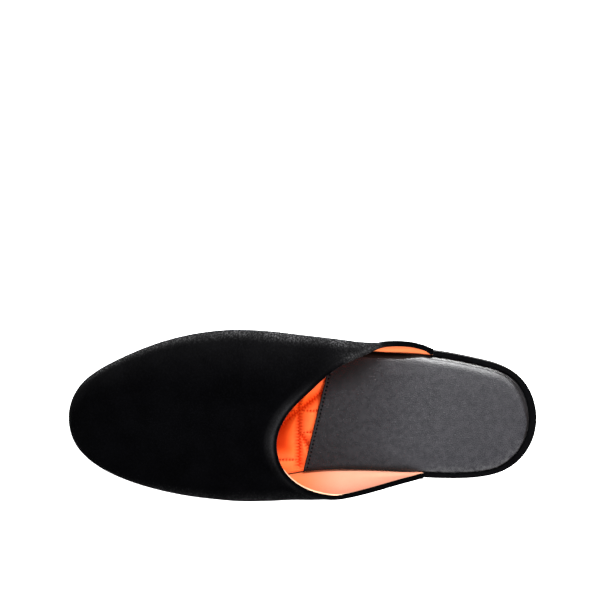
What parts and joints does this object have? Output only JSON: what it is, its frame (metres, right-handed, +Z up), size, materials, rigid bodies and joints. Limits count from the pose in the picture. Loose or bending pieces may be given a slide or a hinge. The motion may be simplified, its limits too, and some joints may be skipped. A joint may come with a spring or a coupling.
{
  "type": "velvet mule",
  "caption": "Backless velvet slipper for the right foot: hollow vamp with a rolled collar, satin and leather footbed, thin sole with toe spring and a low heel.",
  "frame": {"origin": "on the floor, under the middle of the shoe's box", "axes": "+X from the heel to the toe, +Y to the wearer's left (the inner side of this right shoe), +Z up"},
  "size_m": [0.2877, 0.1048, 0.055],
  "materials": {
    "velvet": "black velvet with a short nap",
    "satin": "orange satin",
    "sock_leather": "fine-grained black leather with a soft sheen",
    "sole_leather": "black edge dressing, satin",
    "heel_leather": "black stacked leather, satin"
  },
  "bodies": {
    "root": {"upper": "velvet", "heel_rand": "velvet", "insole": "satin", "sock": "sock_leather", "outsole": "sole_leather", "heel": "heel_leather"}
  },
  "joints": []
}
